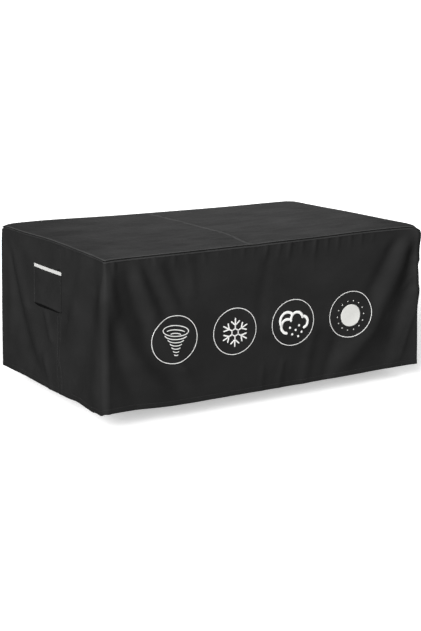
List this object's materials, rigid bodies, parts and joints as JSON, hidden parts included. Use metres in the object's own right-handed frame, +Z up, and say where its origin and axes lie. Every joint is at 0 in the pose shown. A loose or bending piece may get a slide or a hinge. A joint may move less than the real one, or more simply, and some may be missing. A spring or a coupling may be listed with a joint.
{
  "type": "fitted patio furniture cover",
  "caption": "Fitted black cloth cover for a patio table with chairs: flat top, folded skirt walls, printed front and a flap vent under a white strip.",
  "frame": {"origin": "the middle of the top's underside, which the furniture holds up", "axes": "+X along the cover's length, with the vent in the end wall towards -X; +Y away from the printed wall; +Z up"},
  "size_m": [1.8306, 1.1516, 0.7289],
  "materials": {
    "skirt_cloth": "black coated polyester oxford, semi-matt, with a fine plain weave",
    "top_cloth": "the same black coated polyester oxford, semi-matt",
    "white_webbing": "white woven strip, matt, stitched round",
    "white_print": "white screen print on the cloth, matt"
  },
  "bodies": {
    "root": {"skirt_front": "skirt_cloth", "skirt_back": "skirt_cloth", "top_panel_left": "top_cloth", "top_panel_right": "top_cloth", "vent_flap": "skirt_cloth", "vent_strip": "white_webbing"}
  },
  "joints": []
}
